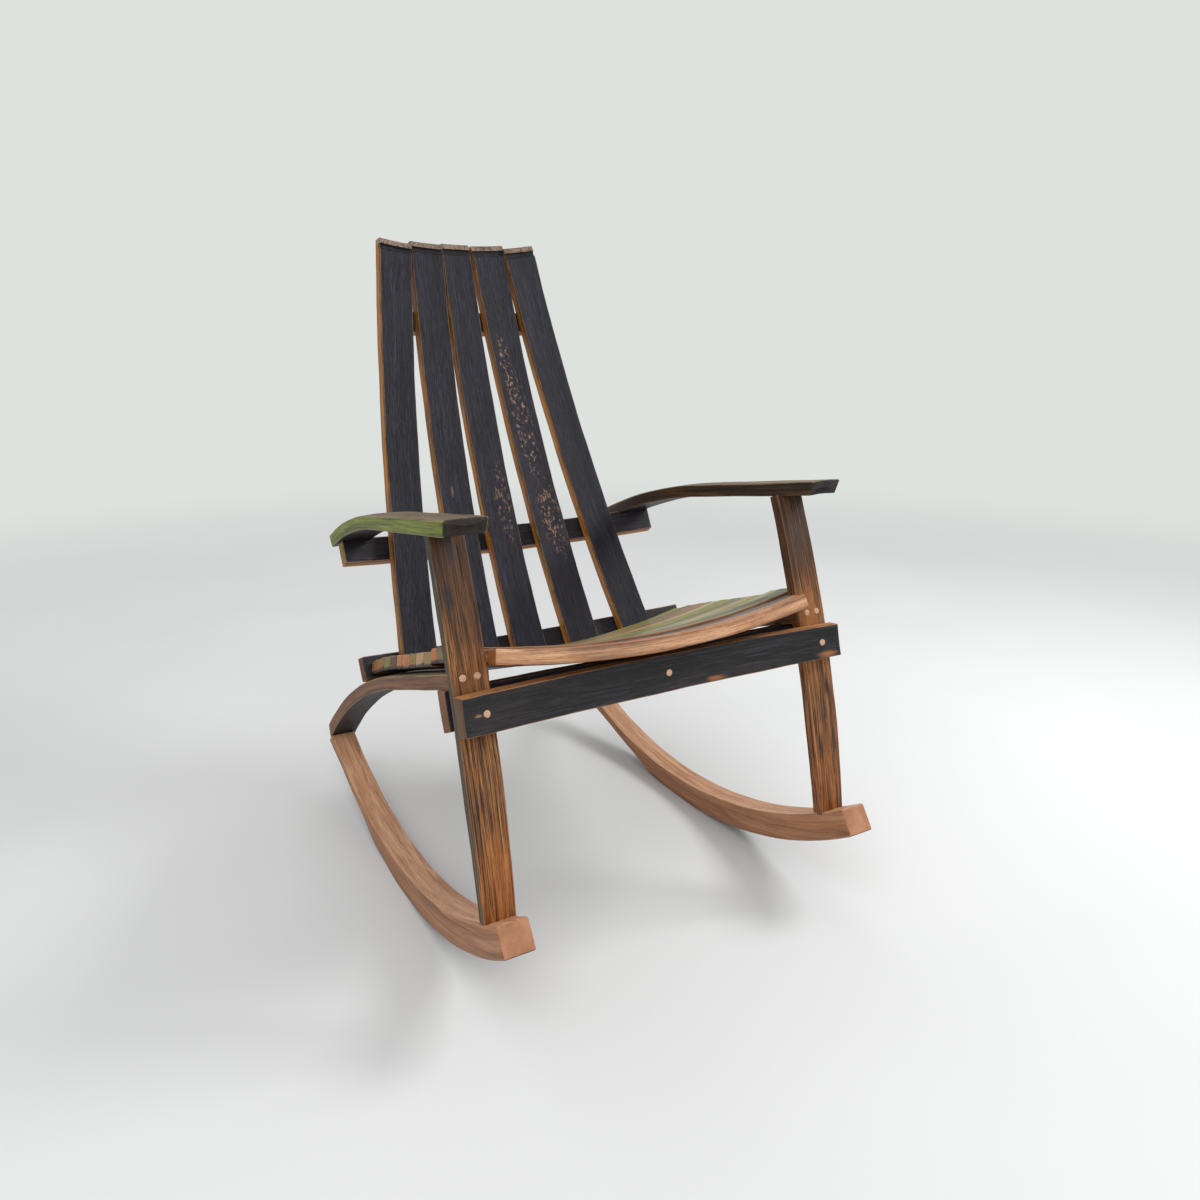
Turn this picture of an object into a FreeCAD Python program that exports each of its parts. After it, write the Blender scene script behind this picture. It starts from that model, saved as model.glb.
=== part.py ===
import FreeCAD, Part
import math
import os
import Sketcher
from FreeCAD import Placement, Rotation, Vector

os.makedirs("parts", exist_ok=True)
doc = FreeCAD.newDocument("StaveRocker")

# Driving sizes in millimetres and degrees. Reaches are measured front to back from the line where the
# rockers meet the floor, heights from the floor, and side distances from the middle of the chair.
sizes = {
    "overrun": "14",
    "seatGap": "0.2",
    "armSeatGap": "0.6",
    "backGap": "0.8",
    "battenGap": "0.8",
    "apronGap": "0.8",
    "rearApronGap": "1",
    "lowRailGap": "1",
    "staveThick": "22",
    "staveBow": "2083",
    "barrelRadius": "317",
    "bandTurn": "18",
    "jointBevel": "5",
    "rockerRadius": "769",
    "rockerReach": "435",
    "rockerTopRadius": "829",
    "rockerTopSetback": "34",
    "rockerWaist": "36.5",
    "heelReach": "100",
    "tailReach": "381.5",
    "tailMitre": "21",
    "rockerWide": "42.5",
    "rockerSide": "270.5",
    "legReach": "376",
    "legLean": "16",
    "legLong": "472",
    "legScarf": "9",
    "legSide": "269",
    "legFootWide": "43",
    "legWide": "48.3",
    "legTopWide": "46",
    "railFrontHeight": "440",
    "railTailHeight": "106.8",
    "railSide": "267.5",
    "railFrontWide": "50.5",
    "railWide": "48.5",
    "railTailWide": "50.5",
    "stripThick": "22",
    "stripBow": "1330",
    "stripLong": "568",
    "stripGap": "0.9",
    "seatLead": "31",
    "backRoom": "3.5",
    "lowRailReach": "79",
    "lowRailTilt": "25",
    "lowRailLong": "602",
    "crossRailWide": "39.5",
    "crossRailEndWide": "39",
    "armRailReach": "190",
    "armRailHeight": "510",
    "armRailTilt": "21",
    "armRailLong": "591.5",
    "armRailBow": "1735",
    "backFootDrop": "56",
    "backLong": "781",
    "backSpread": "200",
    "backPitch": "57.7",
    "backFootWide": "63",
    "backWide": "60.3",
    "backTopWide": "62",
    "chimeLong": "15",
    "chimeDeep": "4.5",
    "crozeWide": "4.5",
    "crozeDeep": "4",
    "battenDrop": "154",
    "battenLong": "322",
    "battenBow": "1400",
    "battenWide": "39.5",
    "battenEndWide": "38.5",
    "armFrontReach": "124",
    "armLong": "631",
    "armFlare": "12",
    "armSide": "267.5",
    "armFrontWide": "55",
    "armWide": "63",
    "armRearWide": "62.5",
    "armCorner": "11",
    "apronHeight": "396.5",
    "apronEase": "3",
    "apronLong": "592.5",
    "apronWide": "46",
    "apronEndWide": "45",
    "rearApronReach": "254",
    "rearApronWide": "41",
    "rearApronEndWide": "45.5",
    "rearApronTilt": "19",
    "rearApronLong": "583",
    "spacerWide": "54",
    "spacerThick": "22",
    "plugWide": "9.5",
    "plugDeep": "8",
    "plugGap": "0.1",
    "legPlugHeight": "434.5",
    "legPlugPitch": "18.6",
    "apronPlugSide": "262.5",
}
sheet = doc.addObject("Spreadsheet::Sheet", "sizes")
for row, (name, text) in enumerate(sizes.items(), 1):
    sheet.set(f"A{row}", name)
    sheet.set(f"B{row}", text)
    sheet.setAlias(f"B{row}", name)
doc.recompute()
size = {name: float(sheet.get(name)) for name in sizes}

# Across the seat the strips differ in width, written as shares of the seat's run: the places of
# their edges from the front to the back.
stripEdgeShares = [0, 0.067, 0.134, 0.238, 0.309, 0.396, 0.457, 0.553, 0.641, 0.729, 0.846, 0.926, 1]
# The back fans out: each stave's place at the lower rail is a share of the spread of the outer pair.
backSpreadShares = [-1, -0.43, 0, 0.43, 1]

lengthwise = Rotation(Vector(1, 1, 1), 120)
upright = Rotation(Vector(1, 0, 0), 90)


def worth(value):
    """A number, or what an expression on the sheet comes to."""
    if isinstance(value, str):
        return float(sheet.evalExpression(value))
    return value


def work(name, number):
    """Put a worked length on the sheet, for pieces to be tied to."""
    row = len(size) + 1
    sheet.set(f"A{row}", name)
    sheet.set(f"B{row}", f"{number:.9f}")
    sheet.setAlias(f"B{row}", name)
    doc.recompute()
    size[name] = number


def bind(sketch, kind, where, value):
    """A dimension of a sketch, tied to the sheet when it is given as an expression."""
    number = sketch.addConstraint(Sketcher.Constraint(kind, *where, worth(value)))
    if isinstance(value, str):
        sketch.setExpression(f"Constraints[{number}]", value)


def join(sketch, *pairs):
    """Fix the end of one line or arc to the end of another."""
    for first, end, second, other in pairs:
        sketch.addConstraint(Sketcher.Constraint("Coincident", first, end, second, other))


def circleArc(centre, radius, start, end):
    """An arc run anticlockwise between two points seen from its centre."""
    turns = [math.atan2(point.y - centre.y, point.x - centre.x) for point in (start, end)]
    return Part.ArcOfCircle(Part.Circle(centre, Vector(0, 0, 1), radius), *turns)


def longSection(label, long, bow, thick, chimed):
    """The stave seen edge on: its middle bulges toward zero and its ends curve away together."""
    sketch = doc.addObject("Sketcher::SketchObject", label)
    sketch.Placement = Placement(Vector(0, 0, 0), lengthwise)
    radius, inner, half = worth(bow), worth(bow) - worth(thick), worth(long) / 2
    centre = Vector(radius, 0, 0)
    croze = half - size["chimeLong"] - size["crozeWide"] if chimed else half

    def onArc(reach, height):
        return Vector(radius - math.sqrt(reach ** 2 - height ** 2), height, 0)

    outerTop, outerFoot = onArc(radius, half), onArc(radius, -half)
    innerTop, innerFoot = onArc(inner, croze), onArc(inner, -half)
    outer = sketch.addGeometry(circleArc(centre, radius, outerTop, outerFoot))
    hollow = sketch.addGeometry(circleArc(centre, inner, innerTop, innerFoot))
    foot = sketch.addGeometry(Part.LineSegment(outerFoot, innerFoot))
    join(sketch, (outer, 2, foot, 1), (hollow, 2, foot, 2), (outer, 3, hollow, 3))
    if chimed:
        lip = onArc(inner, croze + size["crozeWide"])
        corners = [innerTop,
                   Vector(innerTop.x - size["crozeDeep"], croze, 0),
                   Vector(innerTop.x - size["crozeDeep"], croze + size["crozeWide"], 0),
                   lip,
                   Vector(lip.x - size["chimeDeep"], half, 0),
                   outerTop]
    else:
        corners = [innerTop, outerTop]
    steps = [sketch.addGeometry(Part.LineSegment(*ends)) for ends in zip(corners, corners[1:])]
    join(sketch, (hollow, 1, steps[0], 1), (outer, 1, steps[-1], 2))
    join(sketch, *[(before, 2, after, 1) for before, after in zip(steps, steps[1:])])
    sketch.addConstraint(Sketcher.Constraint("PointOnObject", outer, 3, -1))
    sketch.addConstraint(Sketcher.Constraint("Horizontal", foot))
    sketch.addConstraint(Sketcher.Constraint("Horizontal", steps[-1]))
    bind(sketch, "DistanceX", (-1, 1, outer, 3), bow)
    bind(sketch, "Radius", (outer,), bow)
    bind(sketch, "Radius", (hollow,), f"{bow} - {thick}")
    bind(sketch, "DistanceY", (-1, 1, outer, 1), f"({long}) / 2")
    bind(sketch, "DistanceY", (outer, 2, -1, 1), f"({long}) / 2")
    if chimed:
        groove, wall, shelf, chime = steps[:4]
        sketch.addConstraint(Sketcher.Constraint("Horizontal", groove))
        sketch.addConstraint(Sketcher.Constraint("Vertical", wall))
        sketch.addConstraint(Sketcher.Constraint("Horizontal", shelf))
        sketch.addConstraint(Sketcher.Constraint("PointOnObject", shelf, 2, hollow))
        bind(sketch, "DistanceX", (groove, 2, groove, 1), "sizes.crozeDeep")
        bind(sketch, "DistanceY", (wall, 1, wall, 2), "sizes.crozeWide")
        bind(sketch, "DistanceX", (chime, 2, chime, 1), "sizes.chimeDeep")
        bind(sketch, "DistanceY", (chime, 1, chime, 2), "sizes.chimeLong")
    return sketch


def planOutline(label, long, low, mid, high):
    """The stave seen from its bulging face: widest near the middle, with a long curve to each end."""
    sketch = doc.addObject("Sketcher::SketchObject", label)
    sketch.Placement = Placement(Vector(0, 0, 0), upright)
    half = worth(long) / 2 + size["overrun"]
    lowHalf, midHalf, highHalf = worth(low) / 2, worth(mid) / 2, worth(high) / 2
    rightEdge = Vector(lowHalf, -half, 0), Vector(midHalf, 0, 0), Vector(highHalf, half, 0)
    leftEdge = Vector(-highHalf, half, 0), Vector(-midHalf, 0, 0), Vector(-lowHalf, -half, 0)
    right = sketch.addGeometry(Part.Arc(*rightEdge))
    left = sketch.addGeometry(Part.Arc(*leftEdge))
    top = sketch.addGeometry(Part.LineSegment(Vector(highHalf, half, 0), Vector(-highHalf, half, 0)))
    foot = sketch.addGeometry(Part.LineSegment(Vector(-lowHalf, -half, 0), Vector(lowHalf, -half, 0)))
    # An arc that bends the other way is stored with its ends the other way round.
    rightFoot, rightTop = (1, 2) if midHalf > (lowHalf + highHalf) / 2 else (2, 1)
    leftTop, leftFoot = rightFoot, rightTop
    marks = [sketch.addGeometry(Part.Point(Vector(side * midHalf, 0, 0)), True) for side in (1, -1)]
    join(sketch, (right, rightTop, top, 1), (top, 2, left, leftTop),
         (left, leftFoot, foot, 1), (foot, 2, right, rightFoot))
    for mark, edge in zip(marks, (right, left)):
        sketch.addConstraint(Sketcher.Constraint("PointOnObject", mark, 1, edge))
    sketch.addConstraint(Sketcher.Constraint("Symmetric", right, rightTop, left, leftTop, -2))
    sketch.addConstraint(Sketcher.Constraint("Symmetric", right, rightFoot, left, leftFoot, -2))
    sketch.addConstraint(Sketcher.Constraint("Symmetric", marks[0], 1, marks[1], 1, -2))
    sketch.addConstraint(Sketcher.Constraint("PointOnObject", marks[0], 1, -1))
    bind(sketch, "DistanceX", (-1, 1, marks[0], 1), f"{mid} / 2")
    bind(sketch, "DistanceX", (-1, 1, right, rightTop), f"{high} / 2")
    bind(sketch, "DistanceX", (-1, 1, right, rightFoot), f"{low} / 2")
    bind(sketch, "DistanceY", (-1, 1, right, rightTop), f"({long}) / 2 + sizes.overrun")
    bind(sketch, "DistanceY", (right, rightFoot, -1, 1), f"({long}) / 2 + sizes.overrun")
    return sketch


def stave(label, long, low, mid, high, bow="sizes.staveBow", thick="sizes.staveThick", chimed=False):
    """A barrel stave: bowed along, crowned across, tapered, with edges bevelled to the barrel's joints."""
    band = doc.addObject("Part::Revolution", label + "_band")
    band.Source = longSection(label + "_section", long, bow, thick, chimed)
    band.Axis = Vector(0, 0, 1)
    band.Solid = True
    band.Symmetric = True
    band.setExpression("Base.y", "sizes.barrelRadius")
    band.setExpression("Angle", "sizes.bandTurn")
    edges = doc.addObject("Part::Extrusion", label + "_edges")
    edges.Base = planOutline(label + "_plan", long, low, mid, high)
    edges.DirMode = "Normal"
    edges.Reversed = True
    edges.Solid = True
    # The ends of the section lie this much further in than its middle.
    edges.setExpression("LengthFwd", f"{thick} + {bow} - sqrt({bow} ^ 2 - (({long}) / 2) ^ 2) + sizes.overrun")
    edges.setExpression("TaperAngle", "-sizes.jointBevel")
    piece = doc.addObject("Part::Common", label)
    piece.Base = band
    piece.Tool = edges
    return piece


def bowCentre(low, high, inward, radius):
    """The centre of the circle through two points, on the side that inward points to."""
    chord = high - low
    along = Vector(chord).normalize()
    toward = (inward - along * inward.dot(along)).normalize()
    return (low + high) * 0.5 + toward * math.sqrt(radius ** 2 - chord.Length ** 2 / 4)


def laid(low, high, inward, lead, long, bow, depth=0.0):
    """Where a stave lies when its face, depth in from the bulge, passes through two points.

    The stave starts lead before the first point and runs on past the second."""
    radius = bow - depth
    centre = bowCentre(low, high, inward, radius)
    first = (low - centre).normalize()
    normal = first.cross(high - centre).normalize()
    forward = normal.cross(first)
    turn = (long / 2 - lead) / radius
    middle = first * math.cos(turn) + forward * math.sin(turn)
    along = forward * math.cos(turn) - first * math.sin(turn)
    across = (-middle).cross(along)
    return Placement(centre + middle * bow, Rotation(across, -middle, along, "XYZ"))


def cut(label, base, *tools):
    """What is left of a piece once its neighbours' shapes are taken from it."""
    piece = base
    for number, tool in enumerate(tools, 1):
        trimmed = doc.addObject("Part::Cut", label if number == len(tools) else f"{label}_cut{number}")
        trimmed.Base = piece
        trimmed.Tool = tool
        piece = trimmed
    return piece


def rod(label, radius, length, place):
    """A round bar that starts at its placement and runs along its own Z."""
    piece = doc.addObject("Part::Cylinder", label)
    piece.setExpression("Radius", radius)
    piece.setExpression("Height", length)
    piece.Placement = place
    return piece


nodes = {}


def keep(label, piece):
    """Name a finished piece for its file."""
    piece.Label = label
    nodes[label] = piece
    return piece


def sideView(reach, height, side=0.0):
    return Vector(side, reach, height)


def leaning(angle):
    """Up along a face that leans back by an angle."""
    return Vector(0, math.sin(math.radians(angle)), math.cos(math.radians(angle)))


def facing(angle):
    """Straight back out of that face."""
    return Vector(0, math.cos(math.radians(angle)), -math.sin(math.radians(angle)))


def arcHeight(centre, radius, reach):
    """The height of the upper side of a circle seen from the side."""
    return centre.z + math.sqrt(radius ** 2 - (reach - centre.y) ** 2)


def crown(radius, offset):
    """How far a round face has fallen away at an offset from its middle."""
    return radius - math.sqrt(radius ** 2 - offset ** 2)


def halfWidth(mid, end, long, radius, place, depth):
    """Half a stave's width at a distance from its middle, depth in from its bulging face."""
    plan = mid / 2 - (mid - end) / 2 * (2 * place / (long + 2 * size["overrun"])) ** 2
    return plan - (crown(radius, place) + depth) * math.tan(math.radians(size["jointBevel"]))


rise = Vector(0, 0, 1)
back = Vector(0, 1, 0)
thick = size["staveThick"]
bow = size["staveBow"]

# The rocker's upper edge is an arc of its own, further back and flatter than the one that rolls.
rockerTopCentre = sideView(size["rockerTopSetback"], size["rockerWaist"] + size["rockerTopRadius"])
rockerTopDrop = math.sqrt(size["rockerTopRadius"] ** 2 - (size["legReach"] + size["rockerTopSetback"]) ** 2)
legFoot = sideView(-size["legReach"], rockerTopCentre.z - rockerTopDrop)
legTop = legFoot + leaning(size["legLean"]) * size["legLong"]
legCentre = bowCentre(legFoot, legTop, back, bow)


def onLegFront(height):
    """A point of the leg's bulging front face at a height."""
    return legCentre.y - math.sqrt(bow ** 2 - (height - legCentre.z) ** 2)


def onLegRear(height):
    """A point of the leg's hollow rear face at a height."""
    return legCentre.y - math.sqrt((bow - thick) ** 2 - (height - legCentre.z) ** 2)


railFront = sideView(onLegRear(size["railFrontHeight"]), size["railFrontHeight"])
railTail = sideView(size["tailReach"], size["railTailHeight"])
railCentre = bowCentre(railFront, railTail, -rise, bow)


def railTop(reach):
    return arcHeight(railCentre, bow, reach)


def railUnder(reach):
    return arcHeight(railCentre, bow - thick, reach)



def crossRail(label, long, bowName, tilt, edge, upper):
    """A stave laid across the chair, hollow side forward, given by the front of one edge over a side rail.

    Returns the piece and a function of the distance from its middle and the depth from its bulging
    face, which gives a point of its upper edge."""
    piece = stave(label, long, "sizes.crossRailEndWide", "sizes.crossRailWide", "sizes.crossRailEndWide", bow=bowName)
    run, radius, side = worth(long), worth(bowName), size["railSide"]

    def half(place, depth):
        return halfWidth(size["crossRailWide"], size["crossRailEndWide"], run, radius, place, depth)

    middle = edge - leaning(tilt) * half(side, thick) * (1 if upper else -1)

    def line(place, depth=0.0):
        return middle + facing(tilt) * (crown(radius - thick, side) - crown(radius, place) + thick - depth) \
            + Vector(place, 0, 0)

    def top(place, depth=0.0):
        return line(place, depth) + leaning(tilt) * half(place, depth)

    ends = [line(end * side, thick) for end in (-1, 1)]
    piece.Placement = laid(*ends, -facing(tilt), run / 2 - side, run, radius, thick)
    return piece, top


# The upper cross rail stands behind the back and carries the arms' rear ends, the lower one stands on
# the side rails.
armRailTop = sideView(size["armRailReach"], size["armRailHeight"])
armRail, armRailEdge = crossRail("arm_rail_blank", "sizes.armRailLong", "sizes.armRailBow",
                                 size["armRailTilt"], armRailTop, True)
lowSeat = sideView(size["lowRailReach"], railTop(size["lowRailReach"]) + size["lowRailGap"])
lowRail, lowRailEdge = crossRail("lower_rail_blank", "sizes.lowRailLong", "sizes.staveBow",
                                 size["lowRailTilt"], lowSeat, False)

# The arms lie on the legs' tops and on the rail behind, and spread a little toward the front.
armSeatFront = legTop + facing(size["legLean"]) * (thick / 2)
armSeatRear = armRailEdge(size["armSide"], thick / 2)
armSeatRear.x = 0
armSeatRear += rise * (crown(size["barrelRadius"] - thick, size["armRearWide"] / 2) + size["armSeatGap"])


sides = {"right": -1, "left": 1}
legs, rails, rockers, arms = {}, {}, {}, {}

# Legs: bulging side forward, their ends long enough to be coped to the rocker below and the arm above.
for name, side in sides.items():
    leg = stave(f"leg_{name}_blank", "sizes.legLong + 2 * sizes.legScarf",
                "sizes.legFootWide", "sizes.legWide", "sizes.legTopWide")
    place = Vector(side * size["legSide"], 0, 0)
    leg.Placement = laid(legFoot + place, legTop + place, back, size["legScarf"],
                         size["legLong"] + 2 * size["legScarf"], bow)
    legs[name] = leg

# Side rails: bulging side up, from the legs' backs down to the rockers' tails.
railReach = (railTail - railFront).Length
work("railReach", railReach)
for name, side in sides.items():
    rail = stave(f"side_rail_{name}_blank", "sizes.railReach + 2 * sizes.legScarf",
                 "sizes.railFrontWide", "sizes.railWide", "sizes.railTailWide")
    place = Vector(side * size["railSide"], 0, 0)
    rail.Placement = laid(railFront + place, railTail + place, -rise, size["legScarf"],
                          railReach + 2 * size["legScarf"], bow)
    rails[name] = rail


def rocker(label, side):
    """The long sawn piece that rolls: two arcs, a straight heel and a tail that tapers under the rail."""
    body = doc.addObject("PartDesign::Body", label)
    sketch = body.newObject("Sketcher::SketchObject", label + "_outline")
    plane = next(item for item in body.Origin.OriginFeatures if item.Role == "YZ_Plane")
    sketch.AttachmentSupport = [(plane, "")]
    sketch.MapMode = "FlatFace"
    radius, topRadius = size["rockerRadius"], size["rockerTopRadius"]
    rollCentre = Vector(0, radius, 0)
    topCentre = Vector(rockerTopCentre.y, rockerTopCentre.z, 0)

    def under(centre, reach, distance):
        return Vector(distance, centre.y - math.sqrt(reach ** 2 - (distance - centre.x) ** 2), 0)

    tip = under(rollCentre, radius, -size["rockerReach"])
    square = (rollCentre - tip).normalize()
    away = tip - topCentre
    lean = away.dot(square)
    deep = -lean - math.sqrt(lean ** 2 - away.Length ** 2 + topRadius ** 2)
    topTip = tip + square * deep
    heel = under(rollCentre, radius, size["heelReach"])
    tailLow = Vector(size["tailReach"], railUnder(size["tailReach"]), 0)
    mitre = size["tailReach"] - size["tailMitre"]
    tailHigh = Vector(mitre, railUnder(mitre), 0)
    # The straight top of the tail leaves the upper arc without a corner.
    reach = (tailHigh - topCentre).Length
    swing = math.acos(topRadius / reach)
    start = math.atan2(tailHigh.y - topCentre.y, tailHigh.x - topCentre.x) - swing
    leave = topCentre + Vector(math.cos(start), math.sin(start), 0) * topRadius

    roll = sketch.addGeometry(circleArc(rollCentre, radius, tip, heel))
    heelCut = sketch.addGeometry(Part.LineSegment(heel, tailLow))
    tailEnd = sketch.addGeometry(Part.LineSegment(tailLow, tailHigh))
    tailTop = sketch.addGeometry(Part.LineSegment(tailHigh, leave))
    upper = sketch.addGeometry(circleArc(topCentre, topRadius, topTip, leave))
    front = sketch.addGeometry(Part.LineSegment(topTip, tip))
    join(sketch, (roll, 2, heelCut, 1), (heelCut, 2, tailEnd, 1), (tailEnd, 2, tailTop, 1),
         (upper, 1, front, 1), (front, 2, roll, 1))
    sketch.addConstraint(Sketcher.Constraint("Tangent", tailTop, 2, upper, 2))
    sketch.addConstraint(Sketcher.Constraint("PointOnObject", roll, 3, -2))
    sketch.addConstraint(Sketcher.Constraint("PointOnObject", roll, 3, front))
    bind(sketch, "DistanceY", (-1, 1, roll, 3), "sizes.rockerRadius")
    bind(sketch, "Radius", (roll,), "sizes.rockerRadius")
    bind(sketch, "DistanceX", (roll, 1, -1, 1), "sizes.rockerReach")
    bind(sketch, "DistanceX", (-1, 1, roll, 2), "sizes.heelReach")
    bind(sketch, "Radius", (upper,), "sizes.rockerTopRadius")
    bind(sketch, "DistanceX", (-1, 1, upper, 3), "sizes.rockerTopSetback")
    bind(sketch, "DistanceY", (-1, 1, upper, 3), "sizes.rockerWaist + sizes.rockerTopRadius")
    bind(sketch, "DistanceX", (-1, 1, tailEnd, 1), "sizes.tailReach")
    bind(sketch, "DistanceX", (tailEnd, 2, tailEnd, 1), "sizes.tailMitre")
    bind(sketch, "DistanceY", (-1, 1, tailEnd, 1), tailLow.y)
    bind(sketch, "DistanceY", (-1, 1, tailEnd, 2), tailHigh.y)
    pad = body.newObject("PartDesign::Pad", label + "_pad")
    pad.Profile = sketch
    pad.SideType = "Symmetric"
    pad.setExpression("Length", "sizes.rockerWide")
    body.Placement = Placement(Vector(side * size["rockerSide"], 0, 0), Rotation())
    return body


for name, side in sides.items():
    rockers[name] = rocker(f"rocker_{name}_blank", side)

# Arms: bulging side up, over the legs' tops and the rear rail, wider apart at the front than behind.
for name, side in sides.items():
    arm = stave(f"arm_{name}_blank", "sizes.armLong", "sizes.armFrontWide", "sizes.armWide", "sizes.armRearWide")
    front = armSeatFront + Vector(side * (size["armSide"] + size["armFlare"]), 0, 0)
    rear = armSeatRear + Vector(side * size["armSide"], 0, 0)
    arm.Placement = laid(front, rear, -rise, size["armFrontReach"], size["armLong"], bow, thick)
    arms[name] = arm
doc.recompute()


def endCorners(shape, far):
    """The edges through a stave's thickness at the corners of one of its ends, in its own frame."""
    found = []
    for number, edge in enumerate(shape.Edges, 1):
        places = [vertex.Point for vertex in edge.Vertexes]
        level = all(abs(point.z - far) < size["overrun"] for point in places)
        if level and len(places) == 2 and abs(places[0].y - places[1].y) > thick / 2:
            found.append(number)
    return found


for name, arm in arms.items():
    rounded = doc.addObject("Part::Fillet", f"arm_{name}_rounded")
    rounded.Base = arm
    loose = arm.Shape.transformGeometry(arm.Placement.inverse().toMatrix())
    corners = endCorners(loose, -size["armLong"] / 2)
    rounded.Edges = [(number, size["armCorner"], size["armCorner"]) for number in corners]
    arms[name] = rounded

# Round plugs in the faces of the legs hide the screws that hold the side rails.
legPlugs = {}
legPlugFace = sideView(onLegFront(size["legPlugHeight"]), size["legPlugHeight"])
legPlugIn = (sideView(legCentre.y, legCentre.z) - legPlugFace).normalize()
plugLook = Rotation(rise, legPlugIn)
for name, side in sides.items():
    for number, offset in enumerate((-size["legPlugPitch"] / 2, size["legPlugPitch"] / 2), 1):
        seat = legPlugFace + Vector(side * size["legSide"] + offset, 0, 0)
        legPlugs[name, number] = (seat, plugLook)


def plugHole(label, seat, look):
    """A blind hole of a plug's depth, open a little beyond the wood's face."""
    mouth = seat - look.multVec(rise) * size["overrun"]
    return rod(label, "sizes.plugWide / 2 + sizes.plugGap", "sizes.plugDeep + sizes.overrun", Placement(mouth, look))


for name in sides:
    holes = [plugHole(f"leg_{name}_hole{number}", *legPlugs[name, number]) for number in (1, 2)]
    keep(f"leg_{name}", cut(f"leg_{name}_coped", legs[name], rockers[name], arms[name], *holes))
    keep(f"rocker_{name}", cut(f"rocker_{name}_coped", rockers[name], rails[name]))
    behind = doc.addObject("Part::Box", f"side_rail_{name}_end")
    behind.setExpression("Length", "sizes.railWide + sizes.overrun")
    behind.setExpression("Width", "sizes.tailReach")
    behind.setExpression("Height", "sizes.railFrontHeight")
    corner = sides[name] * size["railSide"] - (size["railWide"] + size["overrun"]) / 2
    behind.Placement = Placement(Vector(corner, size["tailReach"], 0), Rotation())
    keep(f"side_rail_{name}", cut(f"side_rail_{name}_coped", rails[name], legs[name], behind))
    keep(f"arm_{name}", arms[name])

keep("arm_cross_rail", armRail)
keep("lower_cross_rail", lowRail)

# Back: five staves, hollow side forward, that fan out from joints closed at the top.
backRun = size["backLong"] - size["backFootDrop"]
backStep = (armRailEdge(0, thick) - lowRailEdge(0, thick)).Length
backPlaces = []
for number, share in enumerate(backSpreadShares, 1):
    footSide = share * size["backSpread"]
    topSide = (number - 3) * size["backPitch"]
    armSide = footSide + (topSide - footSide) * backStep / backRun
    shift = -facing(size["armRailTilt"]) * size["backGap"]
    piece = stave(f"back_stave_{number}_blank", "sizes.backLong", "sizes.backFootWide", "sizes.backWide",
                  "sizes.backTopWide", chimed=True)
    low, high = lowRailEdge(footSide, thick) + shift, armRailEdge(armSide, thick) + shift
    place = laid(low, high, -back, size["backFootDrop"], size["backLong"], bow)
    piece.Placement = place
    backPlaces.append(place)
    keep(f"back_stave_{number}", piece)

# Batten: a short stave that ties the back together behind its tops.
middleBack = backPlaces[2]
battenTurn = (size["backLong"] / 2 - size["battenDrop"]) / bow
battenPoint = Vector(0, bow * (1 - math.cos(battenTurn)) - size["battenGap"], bow * math.sin(battenTurn))
battenSeat = middleBack.multVec(battenPoint)
battenOut = middleBack.Rotation.multVec(Vector(0, -math.cos(battenTurn), math.sin(battenTurn)))
batten = stave("top_batten_blank", "sizes.battenLong", "sizes.battenEndWide", "sizes.battenWide",
               "sizes.battenEndWide", bow="sizes.battenBow")
battenHalf = size["battenLong"] / 2
battenDepth = crown(size["battenBow"] - thick, battenHalf)
battenEnds = [battenSeat - battenOut * battenDepth + Vector(end * battenHalf, 0, 0) for end in (-1, 1)]
batten.Placement = laid(*battenEnds, -battenOut, 0, size["battenLong"], size["battenBow"], thick)
keep("top_batten", batten)


def strip(label, half, wide):
    """A seat strip cut from a stave: its top is the hollow side, so the seat dips in the middle."""
    body = doc.addObject("PartDesign::Body", label)
    sketch = body.newObject("Sketcher::SketchObject", label + "_outline")
    plane = next(item for item in body.Origin.OriginFeatures if item.Role == "XZ_Plane")
    sketch.AttachmentSupport = [(plane, "")]
    sketch.MapMode = "FlatFace"
    upper, reach, seat = size["stripBow"], worth(half), size["railSide"] - size["railWide"] / 2
    under = upper + size["stripThick"]
    centre = Vector(0, math.sqrt(under ** 2 - seat ** 2), 0)
    ends = {}
    for radius in (upper, under):
        for side in (-1, 1):
            ends[radius, side] = Vector(side * reach, centre.y - math.sqrt(radius ** 2 - reach ** 2), 0)
    top = sketch.addGeometry(circleArc(centre, upper, ends[upper, -1], ends[upper, 1]))
    foot = sketch.addGeometry(circleArc(centre, under, ends[under, -1], ends[under, 1]))
    left = sketch.addGeometry(Part.LineSegment(ends[upper, -1], ends[under, -1]))
    right = sketch.addGeometry(Part.LineSegment(ends[upper, 1], ends[under, 1]))
    contact = sketch.addGeometry(Part.Point(Vector(seat, 0, 0)), True)
    join(sketch, (top, 1, left, 1), (foot, 1, left, 2), (top, 2, right, 1), (foot, 2, right, 2), (top, 3, foot, 3))
    sketch.addConstraint(Sketcher.Constraint("Vertical", left))
    sketch.addConstraint(Sketcher.Constraint("Vertical", right))
    sketch.addConstraint(Sketcher.Constraint("PointOnObject", top, 3, -2))
    sketch.addConstraint(Sketcher.Constraint("PointOnObject", contact, 1, -1))
    sketch.addConstraint(Sketcher.Constraint("PointOnObject", contact, 1, foot))
    bind(sketch, "DistanceX", (-1, 1, contact, 1), "sizes.railSide - sizes.railWide / 2")
    bind(sketch, "Radius", (top,), "sizes.stripBow")
    bind(sketch, "Radius", (foot,), "sizes.stripBow + sizes.stripThick")
    bind(sketch, "DistanceX", (-1, 1, top, 2), half)
    bind(sketch, "DistanceX", (top, 1, -1, 1), half)
    pad = body.newObject("PartDesign::Pad", label + "_pad")
    pad.Profile = sketch
    pad.SideType = "Symmetric"
    pad.setExpression("Length", wide)
    return body


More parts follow.
